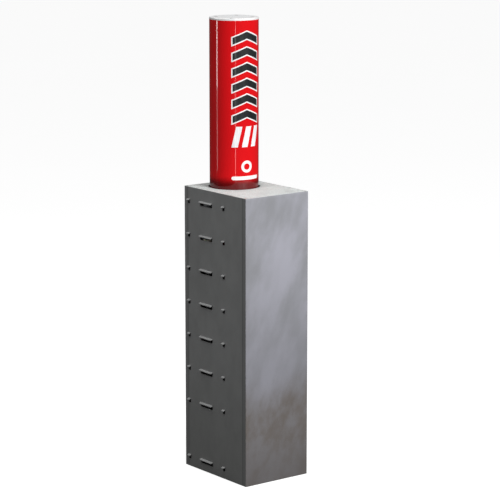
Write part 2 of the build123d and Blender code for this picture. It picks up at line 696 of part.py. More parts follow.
def suction_strainer():
    top = TANK_TOP - PUMP_LENGTH
    low = top - STRAINER_LENGTH
    strainer = round_bar(STRAINER_R, low, top, PACK_X, MOTOR_Y)
    bands = [pipe(STRAINER_R + CLEAR, STRAINER_R - CLEAR, z, z + SHEET, PACK_X, MOTOR_Y)
             for z in (low, (low + top) / 2, top - SHEET)]
    return strainer + bands


def bell_housing():
    """The casting between lid and motor, with windows to reach the coupling."""
    bell = pipe(MOTOR_R, MOTOR_R - BELL_WALL, LID_TOP, BELL_TOP, PACK_X, MOTOR_Y)
    floor = pipe(MOTOR_R - FIT, SHAFT_R + CLEAR, LID_TOP, LID_TOP + BELL_WALL, PACK_X, MOTOR_Y)
    windows = block(PACK_X - MOTOR_R, PACK_X + MOTOR_R, MOTOR_Y - ROTOR_R / 2,
                    MOTOR_Y + ROTOR_R / 2, LID_TOP + 2 * BELL_WALL, BELL_TOP - 2 * BELL_WALL)
    return bell + floor - windows


def motor_housing():
    """A ribbed aluminium tube with a floor that seats the lower bearing."""
    low = BELL_TOP
    wall = pipe(MOTOR_R - FIN_OUT, MOTOR_R - FIN_OUT - MOTOR_WALL, low, MOTOR_TOP, PACK_X, MOTOR_Y)
    floor = pipe(MOTOR_R - FIN_OUT, BEARING_R + FIT, low, low + BEARING_LENGTH, PACK_X, MOTOR_Y)
    fin = block(MOTOR_R - FIN_OUT - CLEAR, MOTOR_R, -CLEAR, CLEAR, low, MOTOR_TOP)
    turns = [Rot(0, 0, i * 360 / MOTOR_FINS) for i in range(MOTOR_FINS)]
    fins = [Pos(PACK_X, MOTOR_Y, 0) * turn * fin for turn in turns]
    return wall + floor + fins


def motor_stator():
    outer = MOTOR_R - FIN_OUT - MOTOR_WALL - FIT
    return pipe(outer, ROTOR_R + AIR_GAP, CORE_BOTTOM, CORE_BOTTOM + CORE_LENGTH, PACK_X, MOTOR_Y)


def motor_bearings():
    lows = (BELL_TOP, MOTOR_TOP - BEARING_LENGTH)
    return group(pipe(BEARING_R, SHAFT_R + RUN, z, z + BEARING_LENGTH, PACK_X, MOTOR_Y)
                 for z in lows)


def motor_end_cover():
    """The motor's top, with an inner collar that seats the upper bearing."""
    disc = round_bar(MOTOR_R, MOTOR_TOP, MOTOR_TOP + MOTOR_COVER, PACK_X, MOTOR_Y)
    disc = fillet(disc.edges().sort_by(Axis.Z)[-1], 2 * SHEET)
    collar = pipe(MOTOR_R - FIN_OUT - MOTOR_WALL - FIT, BEARING_R + FIT,
                  MOTOR_TOP - BEARING_LENGTH, MOTOR_TOP + CLEAR, PACK_X, MOTOR_Y)
    recess = round_bar(BEARING_R + FIT, MOTOR_TOP, MOTOR_TOP + CLEAR, PACK_X, MOTOR_Y)
    return disc + collar - recess


def motor_rotor():
    """Rotor core, shaft and coupling, turning as one piece down into the pump."""
    low = TANK_TOP - PUMP_LENGTH / 2 + CLEAR
    shaft = round_bar(SHAFT_R, low, MOTOR_TOP, PACK_X, MOTOR_Y)
    core = round_bar(ROTOR_R, CORE_BOTTOM, CORE_BOTTOM + CORE_LENGTH, PACK_X, MOTOR_Y)
    middle = LID_TOP + BELL_HEIGHT / 2
    jaws = extrude(RegularPolygon(COUPLING_R, 8), 2 * SHAFT_R)
    coupling = Pos(PACK_X, MOTOR_Y, middle - SHAFT_R) * jaws
    return shaft + core + coupling


def valve_block():
    body = block(BLOCK_SIDE, BLOCK_SIDE + BLOCK, BLOCK_FRONT, BLOCK_FRONT + BLOCK, LID_TOP,
                 LID_TOP + BLOCK_HEIGHT)
    body = chamfer(body.edges().filter_by(Axis.Z), 2 * CLEAR)
    z = LID_TOP + LEVER_HEIGHT
    return body - bar_x(LEVER_R + RUN, BLOCK_SIDE, BLOCK_SIDE + LEVER_SEAT, BLOCK_Y, z)


def solenoid_valve():
    """The lowering valve: a coil on its stem, on top of the valve block."""
    low = LID_TOP + BLOCK_HEIGHT
    collar = round_bar(COIL / 3, low, low + SHEET, PACK_X, BLOCK_Y)
    coil = block(PACK_X - COIL / 2, PACK_X + COIL / 2, BLOCK_Y - COIL / 2, BLOCK_Y + COIL / 2,
                 low + SHEET, low + SHEET + COIL_HEIGHT)
    coil = fillet(coil.edges().filter_by(Axis.Z), 2 * SHEET)
    stem = round_bar(SENSOR_R, low, low + COIL_HEIGHT + 4 * SHEET, PACK_X, BLOCK_Y)
    return collar + coil + stem


def release_lever():
    """The hand lever that opens the release valve and lets the cylinder sink."""
    z = LID_TOP + LEVER_HEIGHT
    face = BLOCK_SIDE - CLEAR
    arm_x = face - BRACKET
    spindle = bar_x(LEVER_R, face - CLEAR, BLOCK_SIDE + LEVER_SEAT - CLEAR, BLOCK_Y, z)
    hub = bar_x(2 * LEVER_R, arm_x, face, BLOCK_Y, z)
    arm = block(arm_x, face, BLOCK_Y - LEVER_R, BLOCK_Y + LEVER_R, z, z + LEVER_LENGTH)
    knob = bar_x(LEVER_R + SHEET, arm_x - SHEET, face + CLEAR / 2, BLOCK_Y, z + LEVER_LENGTH)
    knob = fillet(knob.edges().filter_by(GeomType.CIRCLE), SHEET)
    return spindle + hub + arm + knob


# ---- Hose and its elbows ----------------------------------------------------------------
def hose_direction():
    """Unit vector in plan from the ram's axis towards the hose's drop beside the tank."""
    return Vector(PACK_X - AXIS_X, HOSE_Y, 0).normalized()


def hose_points():
    """The hose's two ends and its corner, in one upright plane."""
    end = Vector(AXIS_X, 0, PORT_Z) + hose_direction() * (BARREL_R + ELBOW_REACH)
    return [Vector(PACK_X, HOSE_Y, ELBOW_Z - ELBOW_REACH), Vector(PACK_X, HOSE_Y, PORT_Z), end]


def hose_bend():
    """As large a bend as the level run leaves room for."""
    points = hose_points()
    return HOSE_BEND_SHARE * (points[2] - points[1]).length


def hydraulic_hose():
    points = hose_points()
    path = FilletPolyline(*points, radius=hose_bend())
    start = Plane(origin=points[0], z_dir=(0, 0, -1))
    return sweep(start * Circle(HOSE_R), path=path)


def hose_elbows():
    """One elbow at the valve block, turned down, and one straight end at the ram."""
    top = hose_points()[0]
    level = bar_y(ELBOW_R, HOSE_Y, BLOCK_FRONT, PACK_X, ELBOW_Z)
    drop = round_bar(ELBOW_R, top.Z, ELBOW_Z, PACK_X, HOSE_Y)
    elbow = level + drop + Pos(PACK_X, HOSE_Y, ELBOW_Z) * Sphere(ELBOW_R)
    away = hose_direction()
    start = Vector(AXIS_X, 0, PORT_Z) + away * (BARREL_R + FIT)
    straight = extrude(Plane(origin=start, z_dir=away) * Circle(ELBOW_R), ELBOW_REACH - FIT)
    flat = extrude(Plane(origin=start, z_dir=away) * RegularPolygon(ELBOW_HEX, 6), ELBOW_R)
    barrel = round_bar(BARREL_R + FIT, PORT_Z - 2 * ELBOW_R, PORT_Z + 2 * ELBOW_R, AXIS_X)
    return group([elbow, straight + flat - barrel])


# ---- Sensors ----------------------------------------------------------------------------
def sensor_places():
    """Heights of the two sensors: the carriage's edge raised and lowered."""
    raised = TUBE_BOTTOM - CARRIAGE / 2
    return [raised, raised - STROKE]


def sensor_face():
    return AXIS_X + CARRIAGE_SIDE + SENSOR_GAP


def sensor_rail():
    """A flat bar between base plate and guide head that holds the two sensors."""
    x0 = HEAD_END - SENSOR_RAIL - CLEAR
    rail = block(x0, x0 + SENSOR_RAIL, SENSOR_Y - SENSOR_RAIL_WIDTH / 2,
                 SENSOR_Y + SENSOR_RAIL_WIDTH / 2, BASE_PLATE, HEAD_BOTTOM)
    holes = [bar_x(SENSOR_R + FIT, x0, x0 + SENSOR_RAIL, SENSOR_Y, z) for z in sensor_places()]
    return rail - holes


def limit_sensors():
    """Two threaded proximity sensors, each with a nut on both sides of the bar."""
    x0 = HEAD_END - SENSOR_RAIL - CLEAR
    sensors = []
    for z in sensor_places():
        body = bar_x(SENSOR_R, sensor_face(), sensor_face() + SENSOR_LENGTH, SENSOR_Y, z)
        for edge in (x0 - SENSOR_RAIL, x0 + SENSOR_RAIL):
            nut = Plane(origin=(edge, SENSOR_Y, z), z_dir=(1, 0, 0))
            body += extrude(nut * RegularPolygon(SENSOR_R + SENSOR_RAIL, 6), SENSOR_RAIL)
        sensors.append(body)
    return group(sensors)


# ---- Electrical box and sockets ---------------------------------------------------------
def terminal_box():
    x0, x1 = PACK_X - BOX_X / 2, PACK_X + BOX_X / 2
    box = block(x0, x1, BOX_FRONT, BRACKET_FRONT, BOX_BOTTOM, BOX_TOP)
    inside = block(x0 + BOX_WALL, x1 - BOX_WALL, BOX_FRONT, BRACKET_FRONT - BOX_WALL,
                   BOX_BOTTOM + BOX_WALL, BOX_TOP - BOX_WALL)
    glands = [round_bar(GLAND_R + FIT, BOX_BOTTOM, BOX_BOTTOM + BOX_WALL, x, y)
              for x, y in gland_places()]
    posts = [bar_y(2 * M5, BOX_FRONT, BRACKET_FRONT, x, z) for x, z in box_screw_places()]
    holes = [bar_y(M5 + FIT, BOX_FRONT, BOX_FRONT + BOX_Y / 2, x, z)
             for x, z in box_screw_places()]
    return box - inside - glands + posts - holes


def box_screw_places():
    inset = BOX_WALL + BOX_SCREW_IN
    x, z = BOX_X / 2 - inset, BOX_Z / 2 - inset
    middle = (BOX_TOP + BOX_BOTTOM) / 2
    return [(PACK_X + i * x, middle + j * z) for i in (-1, 1) for j in (-1, 1)]


def terminal_box_lid():
    lid = block(PACK_X - BOX_X / 2, PACK_X + BOX_X / 2, BOX_FRONT - BOX_LID, BOX_FRONT,
                BOX_BOTTOM, BOX_TOP)
    lid = chamfer(lid.faces().sort_by(Axis.Y)[0].edges(), CLEAR)
    holes = [bar_y(M5 + FIT, BOX_FRONT - BOX_LID, BOX_FRONT, x, z)
             for x, z in box_screw_places()]
    return lid - holes


def terminal_box_screws():
    front = BOX_FRONT - BOX_LID
    return group(bar_y(M5, front, BOX_FRONT + BOX_Y / 3, x, z)
                 + bar_y(2 * M5, front - M5, front, x, z) for x, z in box_screw_places())


def gland_places():
    return [(PACK_X + i * GLAND_STEP, BRACKET_FRONT - BOX_Y / 2) for i in (-1, 0, 1)]


def cable_glands():
    """Three glands under the box, each with a hexagon and a domed nut."""
    glands = []
    for x, y in gland_places():
        neck = round_bar(GLAND_R, BOX_BOTTOM - GLAND_R, BOX_BOTTOM + BOX_WALL, x, y)
        hexagon = Pos(x, y, BOX_BOTTOM - BOX_WALL) * extrude(RegularPolygon(GLAND_HEX, 6), BOX_WALL)
        nut = round_bar(GLAND_NUT, BOX_BOTTOM - 2 * GLAND_R, BOX_BOTTOM - GLAND_R / 2, x, y)
        bore = round_bar(GLAND_R / 2, BOX_BOTTOM - 2 * GLAND_R, BOX_BOTTOM + BOX_WALL, x, y)
        glands.append(neck + hexagon + nut - bore)
    return group(glands)


def conduit_socket():
    """The duct's socket, flush with the rear face and welded into its plate."""
    outer = bar_y(SOCKET_BORE + SOCKET_WALL, HALF_Y - SOCKET_LENGTH, HALF_Y, CONDUIT_X, CONDUIT_Z)
    return outer - bar_y(SOCKET_BORE, HALF_Y - SOCKET_LENGTH, HALF_Y, CONDUIT_X, CONDUIT_Z)


def drain_socket():
    return pipe(SOCKET_BORE + SOCKET_WALL, SOCKET_BORE, 0, SOCKET_LENGTH, PACK_X, DRAIN_Y)


NODES = {
    "casing_front_panel": casing_front_panel,
    "casing_rear_panel": casing_rear_panel,
    "duct_plate": duct_plate,
    "base_plate": base_plate,
    "rim_frame": rim_frame,
    "top_plate": top_plate,
    "top_plate_screws": top_plate_screws,
    "guide_head": guide_head,
    "guide_sleeve": guide_sleeve,
    "guide_bush_upper": guide_bush_upper,
    "guide_bush_lower": guide_bush_lower,
    "wiper_seal": wiper_seal,
    "guide_rail_front": lambda: guide_rail(-1),
    "guide_rail_rear": lambda: guide_rail(1),
    "stop_tubes": stop_tubes,
    "top_buffers": top_buffers,
    "buffer_posts": buffer_posts,
    "bottom_buffers": bottom_buffers,
    "ram_pedestal": ram_pedestal,
    "ram_pin": ram_pin,
    "ram_end_cap": ram_end_cap,
    "ram_barrel": ram_barrel,
    "ram_gland": ram_gland,
    "ram_rod": ram_rod,
    "ram_piston": ram_piston,
    "bollard_tube": bollard_tube,
    "bollard_cap": bollard_cap,
    "cap_screws": cap_screws,
    "rod_anchor": rod_anchor,
    "rod_nut": rod_nut,
    "carriage": carriage,
    "carriage_screws": carriage_screws,
    "guide_shoe_front": lambda: guide_shoe(-1),
    "guide_shoe_rear": lambda: guide_shoe(1),
    "pack_bracket": pack_bracket,
    "oil_tank": oil_tank,
    "tank_lid": tank_lid,
    "lid_screws": lid_screws,
    "filler_cap": filler_cap,
    "pump_body": pump_body,
    "suction_strainer": suction_strainer,
    "bell_housing": bell_housing,
    "motor_housing": motor_housing,
    "motor_stator": motor_stator,
    "motor_bearings": motor_bearings,
    "motor_end_cover": motor_end_cover,
    "motor_rotor": motor_rotor,
    "valve_block": valve_block,
    "solenoid_valve": solenoid_valve,
    "release_lever": release_lever,
    "hydraulic_hose": hydraulic_hose,
    "hose_elbows": hose_elbows,
    "sensor_rail": sensor_rail,
    "limit_sensors": limit_sensors,
    "terminal_box": terminal_box,
    "terminal_box_lid": terminal_box_lid,
    "terminal_box_screws": terminal_box_screws,
    "cable_glands": cable_glands,
    "conduit_socket": conduit_socket,
    "drain_socket": drain_socket,
}

os.makedirs("parts", exist_ok=True)
for name, make in NODES.items():
    export_step(make(), f"parts/{name}.step")
print("hose bend radius", round(hose_bend(), 1), "for a hose of diameter", 2 * HOSE_R)
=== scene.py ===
import json
import math

import bpy
import numpy as np
from mathutils import Euler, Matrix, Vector


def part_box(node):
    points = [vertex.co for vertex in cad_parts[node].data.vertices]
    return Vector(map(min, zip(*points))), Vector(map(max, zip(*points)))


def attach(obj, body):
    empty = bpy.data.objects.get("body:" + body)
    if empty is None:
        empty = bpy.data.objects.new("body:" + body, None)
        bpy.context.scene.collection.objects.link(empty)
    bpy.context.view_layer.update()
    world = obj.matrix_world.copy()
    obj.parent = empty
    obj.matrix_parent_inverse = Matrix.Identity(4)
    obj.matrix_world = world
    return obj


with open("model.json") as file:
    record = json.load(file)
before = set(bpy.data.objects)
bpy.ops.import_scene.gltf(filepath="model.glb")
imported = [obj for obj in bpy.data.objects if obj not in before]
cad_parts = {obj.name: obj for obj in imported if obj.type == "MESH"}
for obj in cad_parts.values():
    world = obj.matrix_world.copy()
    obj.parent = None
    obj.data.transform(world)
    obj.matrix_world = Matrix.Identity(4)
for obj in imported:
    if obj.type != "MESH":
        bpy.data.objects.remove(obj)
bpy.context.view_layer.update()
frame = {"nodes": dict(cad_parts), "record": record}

nodes = frame["nodes"]

# ---- Places taken from the frame --------------------------------------------------------
tube_low, tube_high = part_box("bollard_tube")
plate_low, plate_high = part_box("top_plate")
duct_low, duct_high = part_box("duct_plate")
screws_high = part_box("top_plate_screws")[1]
MM = 0.001
AXIS_X = (tube_low.x + tube_high.x) / 2
TUBE_R = (tube_high.x - tube_low.x) / 2
RED_TOP = tube_high.z
GROUND = plate_high.z
SHEET_TOP = plate_low.z
SHEET = 3 * MM                      # the casing's thickness
HALF_X, HALF_Y = plate_high.x, plate_high.y


# ---- Shader maths -----------------------------------------------------------------------
class Signal:
    """A node's output that can be used in arithmetic; each operation adds its Math node."""

    def __init__(self, paint, socket):
        self.paint = paint
        self.socket = socket

    def _math(self, operation, first, second=0.0):
        return self.paint.make("Math", {"operation": operation}, _0=first, _1=second)

    def __add__(self, other):
        return self._math("ADD", self, other)

    def __sub__(self, other):
        return self._math("SUBTRACT", self, other)

    def __rsub__(self, other):
        return self._math("SUBTRACT", other, self)

    def __mul__(self, other):
        return self._math("MULTIPLY", self, other)

    def __pow__(self, other):
        return self._math("POWER", self, other)

    __radd__ = __add__
    __rmul__ = __mul__


class Paint:
    """A material, or the world, and the nodes that make it."""

    def __init__(self, owner):
        self.owner = owner
        owner.use_nodes = True
        self.tree = owner.node_tree
        self.tree.nodes.clear()
        self.place = self.make("TexCoord", output="Object")
        split = self.node("SeparateXYZ", _0=self.place)
        self.x, self.y, self.z = (Signal(self, out) for out in split.outputs)

    def node(self, kind, settings=None, **sockets):
        """One node of any type: its settings first, then the values or links of its sockets."""
        node = self.tree.nodes.new("ShaderNode" + kind)
        for key, value in (settings or {}).items():
            setattr(node, key, value)
        for key, value in sockets.items():
            socket = node.inputs[int(key[1:]) if key[0] == "_" else key.replace("_", " ")]
            if isinstance(value, Signal):
                self.tree.links.new(value.socket, socket)
            else:
                socket.default_value = value
        return node

    def make(self, kind, settings=None, output=0, **sockets):
        """The same node, as the signal of one of its outputs."""
        return Signal(self, self.node(kind, settings, **sockets).outputs[output])

    def step(self, value, low, high, start=0.0, end=1.0):
        """A smooth change from start to end while value goes from low to high."""
        return self.make("MapRange", {"interpolation_type": "SMOOTHSTEP"}, Value=value,
                         From_Min=low, From_Max=high, To_Min=start, To_Max=end)

    def noise(self, scale, detail=3.0, rough=0.5, place=None):
        return self.make("TexNoise", output="Fac", Vector=place or self.place, Scale=scale,
                         Detail=detail, Roughness=rough)

    def grains(self, scale):
        """Distance to the nearest of many scattered points."""
        return self.make("TexVoronoi", {"feature": "F1"}, output="Distance",
                         Vector=self.place, Scale=scale)

    def bands(self, direction, scale, place=None, **sockets):
        """Light and dark stripes."""
        return self.make("TexWave", {"bands_direction": direction}, output="Fac",
                         Vector=place or self.place, Scale=scale, **sockets)

    def scaled(self, x, y, z, turn=(0.0, 0.0, 0.0)):
        """Object coordinates turned, then scaled along each axis."""
        return self.make("Mapping", {"vector_type": "TEXTURE"}, Vector=self.place,
                         Scale=(1 / x, 1 / y, 1 / z), Rotation=turn)

    def radius(self, x, y):
        """Distance from an upright axis."""
        across, along = self.x - x, self.y - y
        return (across * across + along * along) ** 0.5

    def rings(self, scale, x, y):
        """Noise that changes only with the distance from an upright axis and with height."""
        spot = self.make("CombineXYZ", X=self.radius(x, y), Y=0.0, Z=self.z)
        return self.noise(scale, 2.0, 0.5, spot)

    def mix(self, factor, first, second):
        """A colour between two colours."""
        return self.make("Mix", {"data_type": "RGBA"}, output=2, _0=factor, _6=first, _7=second)

    def bump(self, height, strength, distance):
        return self.make("Bump", Height=height, Strength=strength, Distance=distance)

    def close(self, shader, kind="OutputMaterial"):
        out = self.node(kind)
        self.tree.links.new(shader.outputs[0], out.inputs["Surface"])
        return self.owner

    def shade(self, **sockets):
        return self.close(self.node("BsdfPrincipled", **sockets))


def paint_for(name):
    return Paint(bpy.data.materials.new(name))


def rgb(red, green, blue):
    """A colour from 0..255 screen values, as the linear values a shader takes."""
    values = np.array([red, green, blue]) / 255
    linear = np.where(values <= 0.04045, values / 12.92, ((values + 0.055) / 1.055) ** 2.4)
    return (*linear.tolist(), 1.0)


# ---- Finishes of the casing -------------------------------------------------------------
CLOUD_LEAN = (-0.36, 0.0, 0.0)      # the rolling clouds lean by this turn about X
SHADED_CREASE_IN, SHADED_CREASE_WIDE = 22 * MM, 8 * MM    # painted shade of a press line beside each fold, from the edge


def sheet_colour(paint):
    """The sheet's colour, and its clouds.

    The short faces have zinc bloom in broad leaning clouds, painted shade that darkens them
    downwards, and a brown stain near the foot that painted shade darkens further. The long faces
    are plainer, with painted shade towards the bottom and along a press line beside each fold,
    and tabs painted lighter as a highlight.
    """
    short_face = paint.step(paint.x * paint.x, (HALF_X - 4 * MM) ** 2, (HALF_X - MM) ** 2)
    clouds = paint.noise(1.0, 4.0, 0.55, paint.scaled(7.0, 6.5, 2.6, CLOUD_LEAN))
    veins = paint.noise(1.0, 5.0, 0.65, paint.scaled(14.0, 11.0, 7.0, CLOUD_LEAN))
    bloom = paint.step(clouds * 0.75 + veins * 0.25, 0.36, 0.64)
    cool = paint.mix(bloom, rgb(154, 155, 160), rgb(176, 176, 186))
    # painted shade: the short faces darken downwards, from 1 m down to 0.4 m
    cool = paint.mix(paint.step(paint.z, 0.40, 1.0, 0.6, 0.0), cool, rgb(134, 134, 141))
    # a brown stain near the foot, its darkness there partly painted shade
    foot = paint.step(paint.z + (clouds - 0.5) * 0.26, 0.30, 0.47, 1.0, 0.0)
    low = paint.mix(paint.step(veins, 0.35, 0.65), rgb(116, 110, 106), rgb(130, 128, 130))
    # painted shade: the foot darkens further over its lowest 0.3 m
    low = paint.mix(paint.step(paint.z, 0.0, 0.3, 0.6, 0.0), low, rgb(104, 101, 101))
    side = paint.mix(foot, cool, low)
    front = paint.mix(paint.step(veins, 0.3, 0.7), rgb(136, 137, 137), rgb(145, 146, 146))
    # painted shade: the long faces darken towards the bottom
    front = paint.mix(paint.step(paint.z, 0.05, 0.55, 0.4, 0.0), front, rgb(112, 113, 110))
    # painted shade along a press line beside each fold, about half as dark between it and the fold
    middle = HALF_X - SHADED_CREASE_IN
    painted_crease_shade = paint.step(paint.x * paint.x, (middle - SHADED_CREASE_WIDE) ** 2, middle ** 2)
    edge = painted_crease_shade - paint.step(paint.x * paint.x, middle ** 2, (middle + SHADED_CREASE_WIDE) ** 2,
                               0.0, 0.5)
    front = paint.mix(edge * 0.7, front, rgb(104, 105, 105))
    # painted highlight: whatever stands proud of the long faces, the tabs, is painted lighter
    painted_tab_highlight = paint.step(paint.y * paint.y, (HALF_Y + 0.3 * MM) ** 2, (HALF_Y + 1.5 * MM) ** 2)
    front = paint.mix(painted_tab_highlight * 0.9, front, rgb(184, 185, 185))
    return paint.mix(short_face, front, side), clouds


def galvanised_sheet():
    """The casing's sheet: its clouds, with fine rolling lines and grit in the gloss."""
    paint = paint_for("galvanised_sheet")
    colour, clouds = sheet_colour(paint)
    rolling = paint.noise(1.0, 3.0, 0.6, paint.scaled(600.0, 600.0, 9.0))
    grit = paint.noise(900.0, 2.0, 0.6)
    rough = paint.step(clouds * 0.5 + rolling * 0.5, 0.3, 0.7, 0.42, 0.58)
    return paint.shade(Base_Color=colour, Metallic=0.25, Roughness=rough,
                       Normal=paint.bump(rolling * 0.6 + grit * 0.4, 0.12, 0.15 * MM))


def tread_plate():
    """The lid: the sheet's own finish on its edges, a pale finely speckled grip on top."""
    paint = paint_for("tread_plate")
    edge = sheet_colour(paint)[0]
    top = paint.step(paint.z, GROUND - 0.55 * MM, GROUND - 0.1 * MM)
    speck = paint.noise(420.0, 3.0, 0.7)
    worn = paint.noise(14.0, 4.0, 0.6)
    pale = paint.mix(paint.step(speck, 0.35, 0.65), rgb(186, 191, 190), rgb(225, 231, 229))
    pale = paint.mix(paint.step(worn, 0.45, 0.75, 0.0, 0.35), pale, rgb(168, 169, 168))
    near_hole = paint.step(paint.radius(AXIS_X, 0.0), TUBE_R + 7 * MM, TUBE_R + 12 * MM, 0.2, 0.0)
    pale = paint.mix(near_hole, pale, rgb(120, 120, 118))
    return paint.shade(Base_Color=paint.mix(top, edge, pale), Metallic=0.2,
                       Roughness=paint.step(speck, 0.3, 0.7, 0.5, 0.7),
                       Normal=paint.bump(speck, 0.35, 0.3 * MM))


def plate_steel():
    """Hot-rolled plate: blue-grey mill scale with lighter rubbed patches and a little rust."""
    paint = paint_for("plate_steel")
    scale = paint.noise(9.0, 6.0, 0.6)
    fine = paint.noise(240.0, 3.0, 0.6)
    rust = paint.step(paint.noise(26.0, 5.0, 0.65), 0.62, 0.74)
    steel = paint.mix(paint.step(scale, 0.38, 0.62), rgb(84, 88, 94), rgb(128, 130, 133))
    return paint.shade(Base_Color=paint.mix(rust * 0.6, steel, rgb(104, 74, 56)),
                       Metallic=paint.step(rust, 0.0, 1.0, 0.7, 0.1),
                       Roughness=paint.step(scale, 0.3, 0.7, 0.38, 0.6),
                       Normal=paint.bump(fine, 0.2, 0.15 * MM))


def zinc_screws():
    """Zinc plating: a cloudy sheen over turning lines."""
    paint = paint_for("zinc_screws")
    haze = paint.noise(120.0, 3.0, 0.6)
    turned = paint.noise(1.0, 2.0, 0.5, paint.scaled(60.0, 60.0, 2500.0))
    tone = paint.mix(paint.step(haze, 0.35, 0.65), rgb(172, 172, 162), rgb(206, 206, 204))
    return paint.shade(Base_Color=tone, Metallic=0.9,
                       Roughness=paint.step(haze, 0.3, 0.7, 0.24, 0.42),
                       Normal=paint.bump(turned, 0.12, 0.1 * MM))


def black_rubber():
    """Moulded rubber with a dusty bloom and a fine grain."""
    paint = paint_for("black_rubber")
    grain = paint.noise(700.0, 3.0, 0.6)
    dust = paint.step(paint.noise(45.0, 4.0, 0.6), 0.5, 0.8, 0.0, 0.35)
    return paint.shade(Base_Color=paint.mix(dust, rgb(12, 12, 13), rgb(42, 41, 40)),
                       Roughness=paint.step(grain, 0.3, 0.7, 0.55, 0.75),
                       Normal=paint.bump(grain, 0.3, 0.1 * MM))


def bush_polymer():
    """Machined natural acetal: creamy, with fine turning lines."""
    paint = paint_for("bush_polymer")
    lines = paint.noise(1.0, 1.0, 0.5, paint.scaled(8.0, 8.0, 3200.0))
    tint = paint.noise(18.0, 3.0, 0.5)
    return paint.shade(Base_Color=paint.mix(tint, rgb(214, 206, 184), rgb(228, 223, 206)),
                       Roughness=paint.step(lines, 0.3, 0.7, 0.34, 0.46),
                       Subsurface_Weight=0.05, Normal=paint.bump(lines, 0.2, 0.05 * MM))


def ground_steel():
    """Hard chrome: nearly a mirror, with hair-fine rings and faint oil."""
    paint = paint_for("ground_steel")
    rings = paint.noise(1.0, 2.0, 0.5, paint.scaled(4.0, 4.0, 5200.0))
    oil = paint.noise(11.0, 4.0, 0.6)
    return paint.shade(Base_Color=paint.mix(oil, rgb(200, 201, 204), rgb(222, 223, 226)),
                       Metallic=1.0, Roughness=paint.step(oil + rings * 0.3, 0.4, 0.9, 0.09, 0.22),
                       Normal=paint.bump(rings, 0.08, 0.03 * MM))


# ---- Finishes of the rising cylinder ----------------------------------------------------
BASE_SHADE_FULL, BASE_SHADE_GONE = 18 * MM, 58 * MM     # the painted shade's fade over the red, above the lid
BASE_SHADE_RAGGED = 10 * MM


def red_paint():
    """Gloss two-coat lacquer: faint orange peel, hairline rubs, painted shade just above the seal.
    """
    paint = paint_for("red_paint")
    peel = paint.noise(190.0, 2.0, 0.45)
    tone = paint.noise(3.5, 3.0, 0.5)
    rubs = paint.step(paint.noise(1.0, 4.0, 0.7, paint.scaled(420.0, 420.0, 7.0)), 0.64, 0.74)
    ragged = paint.noise(16.0, 3.0, 0.5)
    # film here is painted shade: the red darkens to (76, 2, 4) just above the lid, up to a ragged
    # edge
    film = paint.step(paint.z + (ragged - 0.5) * BASE_SHADE_RAGGED, GROUND + BASE_SHADE_FULL,
                      GROUND + BASE_SHADE_GONE, 1.0, 0.0)
    red = paint.mix(tone, rgb(210, 16, 22), rgb(223, 22, 28))
    red = paint.mix(film * 0.92, red, rgb(76, 2, 4))
    return paint.shade(Base_Color=red, Coat_Weight=0.8, Coat_Roughness=0.04,
                       Specular_IOR_Level=0.05,
                       Roughness=paint.step(tone + rubs * 0.2, 0.3, 0.9, 0.3, 0.42),
                       Normal=paint.bump(peel, 0.05, 0.05 * MM))


def cap_metal():
    """Aluminium turned on a lathe: concentric lines on the face, bright chamfer."""
    paint = paint_for("cap_metal")
    lines = paint.rings(2600.0, AXIS_X, 0.0)
    stain = paint.noise(22.0, 4.0, 0.6)
    tone = paint.mix(paint.step(stain, 0.4, 0.7), rgb(252, 252, 252), rgb(238, 239, 240))
    return paint.shade(Base_Color=tone, Metallic=0.2,
                       Roughness=paint.step(lines + stain * 0.4, 0.5, 0.9, 0.26, 0.4),
                       Normal=paint.bump(lines, 0.2, 0.06 * MM))


def film(name, dark, light):
    """Cut vinyl: even colour with a trace of scuffing, semi-gloss."""
    paint = paint_for(name)
    scuff = paint.noise(1.0, 4.0, 0.7, paint.scaled(160.0, 160.0, 20.0))
    grain = paint.noise(900.0, 2.0, 0.5)
    return paint.shade(Base_Color=paint.mix(paint.step(scuff, 0.35, 0.7), dark, light),
                       Coat_Weight=0.6, Coat_Roughness=0.08,
                       Roughness=paint.step(scuff, 0.3, 0.7, 0.3, 0.42),
                       Normal=paint.bump(grain, 0.05, 0.02 * MM))


# ---- Finishes of the ram, power pack and controls ---------------------------------------
def enamel(name, dark, light, chip):
    """Baked enamel over steel: slight orange peel, tone drift and a few small chips."""
    paint = paint_for(name)
    peel = paint.noise(260.0, 2.0, 0.5)
    drift = paint.noise(7.0, 4.0, 0.55)
    chips = paint.step(paint.noise(95.0, 4.0, 0.7), 0.7, 0.73)
    colour = paint.mix(paint.step(drift, 0.35, 0.65), dark, light)
    return paint.shade(Base_Color=paint.mix(chips, colour, chip),
                       Metallic=chips * 0.6, Coat_Weight=0.4, Coat_Roughness=0.2,
                       Roughness=paint.step(drift + chips * 0.2, 0.3, 0.8, 0.34, 0.5),
                       Normal=paint.bump(peel - chips * 0.4, 0.12, 0.1 * MM))


def barrel_paint():
    return enamel("barrel_paint", rgb(34, 36, 38), rgb(48, 50, 53), rgb(120, 121, 123))


def tank_paint():
    return enamel("tank_paint", rgb(92, 104, 116), rgb(108, 120, 131), rgb(150, 152, 154))


def lever_paint():
    return enamel("lever_paint", rgb(214, 92, 18), rgb(232, 110, 30), rgb(140, 140, 138))


def motor_alloy():
    """Die-cast aluminium: satin skin, fine pits and darker flow marks."""
    paint = paint_for("motor_alloy")
    flow = paint.noise(13.0, 5.0, 0.6)
    pits = paint.grains(520.0)
    tone = paint.mix(paint.step(flow, 0.35, 0.65), rgb(146, 149, 152), rgb(182, 184, 186))
    return paint.shade(Base_Color=tone, Metallic=0.75,
                       Roughness=paint.step(flow, 0.3, 0.7, 0.4, 0.56),
                       Normal=paint.bump(pits, 0.25, 0.12 * MM))


